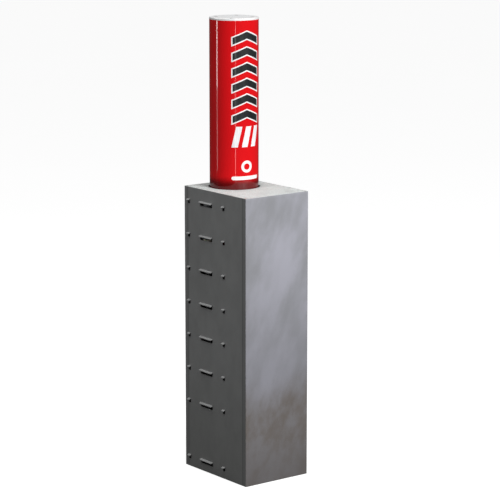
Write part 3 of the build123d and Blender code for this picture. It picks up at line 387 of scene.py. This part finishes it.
def lamination():
    """Stacked sheets seen on edge: dark varnish lines between thin bright ones."""
    paint = paint_for("lamination")
    stack = paint.bands("Z", 320.0, Distortion=0.4, Detail=1.0)
    varnish = paint.noise(40.0, 3.0, 0.6)
    tone = paint.mix(stack, rgb(58, 50, 46), rgb(138, 134, 130))
    return paint.shade(Base_Color=paint.mix(varnish * 0.5, tone, rgb(86, 62, 44)), Metallic=0.6,
                       Roughness=paint.step(stack, 0.2, 0.8, 0.55, 0.36),
                       Normal=paint.bump(stack, 0.3, 0.15 * MM))


def moulded(name, dark, light, rough):
    """Moulded plastic with a spark-eroded grain and faint flow shading."""
    paint = paint_for(name)
    grain = paint.noise(1100.0, 2.0, 0.6)
    flow = paint.noise(12.0, 3.0, 0.5)
    return paint.shade(Base_Color=paint.mix(flow, dark, light),
                       Roughness=paint.step(grain, 0.3, 0.7, rough - 0.08, rough + 0.08),
                       Normal=paint.bump(grain, 0.25, 0.06 * MM))


def coil_plastic():
    return moulded("coil_plastic", rgb(22, 22, 24), rgb(34, 34, 37), 0.45)


def box_plastic():
    return moulded("box_plastic", rgb(176, 180, 183), rgb(194, 197, 199), 0.48)


def gland_plastic():
    return moulded("gland_plastic", rgb(26, 26, 27), rgb(40, 40, 42), 0.5)


def hose_rubber():
    """Wrapped hose: the print of its cloth as crossing diagonal ribs."""
    paint = paint_for("hose_rubber")
    one = paint.bands("DIAGONAL", 140.0, Distortion=0.2)
    other = paint.bands("DIAGONAL", 140.0, paint.scaled(-1.0, 1.0, 1.0), Distortion=0.2)
    dust = paint.noise(60.0, 4.0, 0.6)
    return paint.shade(Base_Color=paint.mix(paint.step(dust, 0.4, 0.8), rgb(20, 20, 21),
                                            rgb(50, 48, 46)),
                       Roughness=paint.step(dust, 0.3, 0.7, 0.55, 0.72),
                       Normal=paint.bump(one * other, 0.5, 0.25 * MM))


def sensor_brass():
    """Nickelled brass barrels: fine threads under a light haze."""
    paint = paint_for("sensor_brass")
    thread = paint.bands("X", 160.0)
    haze = paint.noise(130.0, 3.0, 0.6)
    return paint.shade(Base_Color=paint.mix(haze, rgb(196, 178, 132), rgb(214, 206, 188)),
                       Metallic=0.95, Roughness=paint.step(haze, 0.3, 0.7, 0.2, 0.36),
                       Normal=paint.bump(thread, 0.5, 0.3 * MM))


FINISHES = {make.__name__: make() for make in (
    galvanised_sheet, tread_plate, zinc_screws, plate_steel, black_rubber, bush_polymer,
    ground_steel, barrel_paint, red_paint, cap_metal, tank_paint, motor_alloy, lamination,
    coil_plastic, lever_paint, hose_rubber, sensor_brass, box_plastic, gland_plastic)}
FINISHES["film_black"] = film("film_black", rgb(20, 24, 26), rgb(34, 39, 41))
FINISHES["film_white"] = film("film_white", rgb(236, 236, 238), rgb(250, 250, 250))

for part in frame["record"]["subparts"]:
    mesh = nodes[part["node"]].data
    mesh.materials.clear()
    mesh.materials.append(FINISHES[part["material_slot"]])


# ---- Meshes -----------------------------------------------------------------------------
SHARP_ANGLE = math.radians(35)


def make_piece(name, points, faces, finish, body, slot=None):
    """A piece from its points and faces, smooth but for edges sharper than SHARP_ANGLE."""
    mesh = bpy.data.meshes.new(name)
    mesh.from_pydata(points.reshape(-1, 3).tolist(), [], faces)
    mesh.materials.append(FINISHES[finish])
    mesh.shade_smooth()
    mesh.set_sharp_from_angle(angle=SHARP_ANGLE)
    mesh.update()
    piece = bpy.data.objects.new(name, mesh)
    bpy.context.scene.collection.objects.link(piece)
    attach(piece, body)
    slot or finish
    return piece


def loop_faces(stations, corners, closed):
    """Quads between neighbouring sections of a prism, and its two ends where it isn't closed."""
    station = np.arange(stations if closed else stations - 1)[:, None]
    corner = np.arange(corners)[None, :]
    after = (station + 1) % stations
    turn = (corner + 1) % corners
    quads = np.stack([station * corners + corner, after * corners + corner,
                      after * corners + turn, station * corners + turn], axis=-1)
    faces = quads.reshape(-1, 4).tolist()
    if not closed:
        faces.append(list(range(corners)))
        faces.append([(stations - 1) * corners + c for c in reversed(range(corners))])
    return faces


# ---- Markings on the cylinder -----------------------------------------------------------
MARK_TURN = math.radians(-6.0)      # the markings' middle, about the axis, from +X
MARK_WIDTH = 132 * MM
WHITE_LIFT, BLACK_LIFT = 0.10 * MM, 0.16 * MM   # inside the guide's running gap of 0.3 mm
SINK = 0.05 * MM                    # a film's inner face, inside the tube's skin
ROWS = 5                            # points from one edge of a film to the other
CHEVRONS_DROP, BARS_LOW, BARS_HIGH = 40 * MM, 517 * MM, 432 * MM    # below the tube's top
RING_DROP, STRIP_DROP = 598 * MM, 645 * MM


def on_tube(across, height, lift):
    """Arc length across and height to a point on a cylinder lift wider than the tube."""
    angle = MARK_TURN + across / TUBE_R
    wide = TUBE_R + lift
    return np.stack([AXIS_X + wide * np.cos(angle), wide * np.sin(angle), height], axis=-1)


def marking(name, first, second, finish, slot, lift, closed=False):
    """A thin closed strip of film between two edges, each an array of arc length and height.

    A section runs from one edge to the other in equal steps on the outside, then back just
    inside the tube's skin.
    """
    share = np.linspace(0.0, 1.0, ROWS)[None, :, None]
    spread = first[:, None] * (1 - share) + second[:, None] * share
    outside = on_tube(spread[..., 0], spread[..., 1], lift)
    inside = on_tube(spread[..., 0], spread[..., 1], -SINK)[:, ::-1]
    sections = np.concatenate([outside, inside], axis=1)
    make_piece(name, sections, loop_faces(len(first), sections.shape[1], closed), finish,
               "bollard", slot)


def chevron_edges(middle, width, thick, rise, grow):
    """Heights fall away from the middle in a straight line on both sides; grow widens all round."""
    reach = width / 2 + grow
    across = np.linspace(-reach, reach, 49)
    slope = rise / (width / 2)
    centre = middle - np.abs(across) * slope
    half = thick / 2 + grow * math.hypot(1.0, slope)
    return np.stack([across, centre - half], 1), np.stack([across, centre + half], 1)


def chevrons(top, count=6, pitch=64 * MM, thick=28 * MM, rise=24 * MM, outline=5 * MM):
    """A column of black chevrons with white outlines, pointing up."""
    for i in range(count):
        middle = top - thick / 2 - outline - i * pitch
        for finish, slot, lift, grow in (("film_white", "box_plastic", WHITE_LIFT, outline),
                                         ("film_black", "coil_plastic", BLACK_LIFT, 0.0)):
            edges = chevron_edges(middle, MARK_WIDTH - 2 * outline, thick, rise, grow)
            marking(f"chevron_{i + 1}_{finish[5:]}", *edges, finish, slot, lift)


def slanted_bars(low, high, count=3, bar=26 * MM, lean=20 * MM):
    """White bars side by side, each leaning by the same amount."""
    starts = np.linspace(-MARK_WIDTH / 2, MARK_WIDTH / 2 - bar - lean, count)
    for i, start in enumerate(starts):
        height = np.linspace(low, high, 13)
        left = start + lean * (height - low) / (high - low)
        marking(f"white_bar_{i + 1}", np.stack([left + bar, height], 1),
                np.stack([left, height], 1), "film_white", "box_plastic", WHITE_LIFT)


def white_ring(middle, outer=25 * MM, inner=13 * MM):
    """Two circles about the same point are the edges of a closed strip."""
    angle = np.linspace(0.0, 2 * math.pi, 65)[:-1]
    rim = np.stack([outer * np.cos(angle), middle + outer * np.sin(angle)], 1)
    hole = np.stack([inner * np.cos(angle), middle + inner * np.sin(angle)], 1)
    marking("white_ring", hole, rim, "film_white", "box_plastic", WHITE_LIFT, closed=True)


def white_strip(middle, thick=15 * MM):
    """A level strip whose ends are half circles: its half height is the circle's at each end."""
    across = MARK_WIDTH / 2 * np.sin(np.linspace(-math.pi / 2, math.pi / 2, 65))
    past = np.clip(np.abs(across) - (MARK_WIDTH - thick) / 2, 0.0, None)
    half = np.sqrt(np.clip((thick / 2) ** 2 - past ** 2, (0.2 * MM) ** 2, None))
    marking("white_strip", np.stack([across, middle - half], 1),
            np.stack([across, middle + half], 1), "film_white", "box_plastic", WHITE_LIFT)


chevrons(RED_TOP - CHEVRONS_DROP)
slanted_bars(RED_TOP - BARS_LOW, RED_TOP - BARS_HIGH)
white_ring(RED_TOP - RING_DROP)
white_strip(RED_TOP - STRIP_DROP)


# ---- Grip pips on the lid ---------------------------------------------------------------
SCREW_R = 6 * MM
HOLE_GAP = 14 * MM                  # from the tube to the nearest pips
PIP_SUNK = 0.2 * MM                 # a pip's foot, below the lid's top


def pip_places(pitch=9 * MM, margin=9 * MM, screw_gap=11 * MM):
    """Rows half a pitch apart in turn, clear of the edges, the hole and the screws."""
    row = np.arange(-HALF_Y + margin, HALF_Y - margin, pitch * math.sqrt(3) / 2)
    column = np.arange(-HALF_X + margin, HALF_X - margin, pitch)
    x, y = np.meshgrid(column, row)
    x = x + (np.arange(len(row)) % 2 * pitch / 2)[:, None]
    x, y = x.ravel(), y.ravel()
    keep = np.hypot(x - AXIS_X, y) > TUBE_R + HOLE_GAP
    keep &= np.abs(x) < HALF_X - margin
    corner_x, corner_y = screws_high.x - SCREW_R, screws_high.y - SCREW_R
    keep &= np.hypot(np.abs(x) - corner_x, np.abs(y) - corner_y) > screw_gap
    return x[keep], y[keep]


def grip_pips(wide=2.4 * MM, high=0.7 * MM, sides=10, levels=(1.0, 0.72, 0.38)):
    """Low domes: each ring's height is that of an ellipse at its radius, then a top point.

    One dome's points and faces are worked out once, then repeated at every place.
    """
    x, y = pip_places()
    count = len(x)
    angle = np.arange(sides) * 2 * math.pi / sides
    rings = [np.stack([wide * r * np.cos(angle), wide * r * np.sin(angle),
                       np.full(sides, high * math.sqrt(1 - r * r))], 1) for r in levels]
    base = rings[0] * (1, 1, 0) - (0, 0, PIP_SUNK)
    dome = np.vstack([base] + rings[1:] + [[(0, 0, high)], [(0, 0, -PIP_SUNK)]])
    points = dome[None] + np.stack([x, y, np.full(count, GROUND)], 1)[:, None]
    around = np.arange(sides)
    after = (around + 1) % sides
    faces = []
    for level in range(len(levels) - 1):
        low, up = level * sides, (level + 1) * sides
        faces += np.stack([low + around, low + after, up + after, up + around], 1).tolist()
    peak = len(levels) * sides
    last = (len(levels) - 1) * sides
    faces += np.stack([last + around, last + after, np.full(sides, peak)], 1).tolist()
    faces += np.stack([after, around, np.full(sides, peak + 1)], 1).tolist()
    offsets = (np.arange(count) * len(dome)).tolist()
    every = [[corner + offset for corner in face] for offset in offsets for face in faces]
    make_piece("grip_pips", points, every, "tread_plate", "casing")


grip_pips()


# ---- Weld beads on the casing's seams ---------------------------------------------------
SEAM_END_GAP = 2 * MM               # bare sheet at either end of a corner seam


def weld_bead(name, start, end, out, wide=4.5 * MM, high=0.8 * MM, ripple=3.2 * MM, corners=8,
              sunk=0.1 * MM):
    """A low arch carried along a straight seam; its height and width swell once each ripple.

    The swell is 0.78 + 0.22 |sin|, with one hump of the sine to a ripple.
    """
    start, end, out = Vector(start), Vector(end), np.array(out)
    run = end - start
    stations = max(int(run.length / ripple) * 4, 8)
    t = np.linspace(0.0, 1.0, stations)
    along = np.array(start)[None] + t[:, None] * np.array(run)[None]
    side = np.cross(np.array(run.normalized()), out)
    swell = 0.78 + 0.22 * np.abs(np.sin(math.pi * t * run.length / ripple))
    arch = np.linspace(0.0, math.pi, corners)
    across, height = np.cos(arch) * wide / 2, np.sin(arch) * high
    points = (along[:, None] + side[None, None] * (across[None] * swell[:, None])[..., None]
              + out[None, None] * (height[None] * swell[:, None] - sunk)[..., None])
    make_piece(name, points, loop_faces(stations, corners, False), "galvanised_sheet", "casing")


for sign, label in ((1, "drive_side"), (-1, "cylinder_side")):
    seam_y = sign * (HALF_Y - SHEET)    # a butt seam lies one thickness in
    weld_bead(f"seam_weld_{label}", (sign * HALF_X, seam_y, SEAM_END_GAP),
              (sign * HALF_X, seam_y, SHEET_TOP - SEAM_END_GAP), (sign, 0, 0))
for label, z in (("low", duct_low.z), ("high", duct_high.z)):
    weld_bead(f"duct_weld_{label}", (duct_low.x, HALF_Y, z), (duct_high.x, HALF_Y, z), (0, 1, 0))
for label, x in (("left", duct_low.x), ("right", duct_high.x)):
    weld_bead(f"duct_weld_{label}", (x, HALF_Y, duct_low.z), (x, HALF_Y, duct_high.z), (0, 1, 0))


# ---- Stage, lights and camera -----------------------------------------------------------
CAMERA_SIDE = math.radians(52.775)
CAMERA_AWAY, CAMERA_HIGH = 8.943, 2.6865
CAMERA_LENS, CAMERA_SENSOR = 158.4, 36.0
CAMERA_PITCH, CAMERA_TURN = math.radians(-11.045), math.radians(0.1093)
FLOOR_SIZE = 60
FLOOR_GLOW = 0.88
ROOM_LIGHT = 0.245
WHITE = (1.0, 1.0, 1.0, 1.0)

# Name, angle from the camera, distance, height, what it points at, its two sides, its power.
LIGHTS = (
    ("key", 43, 5.6, 4.4, (0, 0, 0.8), (2.4, 2.4), 430),
    ("left_high", -52, 2.6, 5.4, (0, -HALF_Y, 0.7), (1.0, 1.0), 34),
    ("left_strip", -86, 3.2, 1.45, (AXIS_X, 0, 1.6), (0.3, 0.4), 4.5),
    ("left_strip_low", -86, 3.2, 1.02, (AXIS_X, 0, 1.3), (0.26, 0.46), 1.1),
    ("near_strip", 6, 3.4, 1.30, (AXIS_X, 0, 1.5), (0.12, 1.3), 3.4),
)
TOP_LIGHT = ("top", (0.3, 0, 5.4), (0, 0, 1.2), (3.5, 3.5), 60)


def around(side, away, height):
    """A place by its angle to the right of the camera, seen from the object."""
    turn = CAMERA_SIDE + math.radians(side)
    return away * math.sin(turn), -away * math.cos(turn), height


def floor_finish():
    """Pale to the camera, dim to everything else, so that the object isn't lit from below."""
    paint = paint_for("floor_finish")
    mottle = paint.noise(0.6, 3.0, 0.5)
    lit = paint.node("BsdfDiffuse", Color=paint.mix(mottle, rgb(146, 146, 146), rgb(152, 152, 152)))
    glow = paint.node("Emission", Color=WHITE, Strength=FLOOR_GLOW)
    pale = paint.node("AddShader")
    dim = paint.node("BsdfDiffuse", Color=rgb(100, 100, 100))
    seen = paint.make("LightPath", output="Is Camera Ray")
    pick = paint.node("MixShader", _0=seen)
    links = paint.tree.links
    links.new(lit.outputs[0], pale.inputs[0])
    links.new(glow.outputs[0], pale.inputs[1])
    links.new(dim.outputs[0], pick.inputs[1])
    links.new(pale.outputs[0], pick.inputs[2])
    return paint.close(pick)


def stage_floor():
    """A wide level plane under the object."""
    bpy.ops.mesh.primitive_plane_add(size=FLOOR_SIZE, location=(0, 0, 0))
    floor = bpy.context.object
    floor.name = "stage_floor"
    floor.data.materials.append(floor_finish())


def area_light(name, place, target, size, power):
    """A rectangular light, unseen by the camera, pointing from its place at the target."""
    data = bpy.data.lights.new(name, "AREA")
    data.shape = "RECTANGLE"
    data.size, data.size_y = size
    data.energy = power
    light = bpy.data.objects.new(name, data)
    light.location = place
    light.rotation_euler = (Vector(target) - Vector(place)).to_track_quat("-Z", "Y").to_euler()
    light.visible_camera = False
    bpy.context.scene.collection.objects.link(light)


def lights():
    """A large key on the right, a soft top light, a weak fill and thin strips for the gloss."""
    area_light(*TOP_LIGHT)
    for name, side, away, height, target, size, power in LIGHTS:
        area_light(name, around(side, away, height), target, size, power)


def studio():
    """A dim even room, white only to the camera."""
    world = bpy.data.worlds.new("studio")
    bpy.context.scene.world = world
    paint = Paint(world)
    room = paint.node("Background", Color=WHITE, Strength=ROOM_LIGHT)
    white = paint.node("Background", Color=WHITE, Strength=1.0)
    pick = paint.node("MixShader", _0=paint.make("LightPath", output="Is Camera Ray"))
    paint.tree.links.new(room.outputs[0], pick.inputs[1])
    paint.tree.links.new(white.outputs[0], pick.inputs[2])
    paint.close(pick, "OutputWorld")


def camera():
    """A long lens a little above the object, turned down to it."""
    data = bpy.data.cameras.new("camera")
    data.lens = CAMERA_LENS
    data.sensor_width = CAMERA_SENSOR
    eye = bpy.data.objects.new("camera", data)
    eye.location = around(0, CAMERA_AWAY, CAMERA_HIGH)
    eye.rotation_euler = Euler((math.pi / 2 + CAMERA_PITCH, 0, CAMERA_SIDE - CAMERA_TURN), "XYZ")
    bpy.context.scene.collection.objects.link(eye)
    bpy.context.scene.camera = eye


stage_floor()
studio()
lights()
camera()
bpy.context.scene.view_settings.view_transform = "Standard"
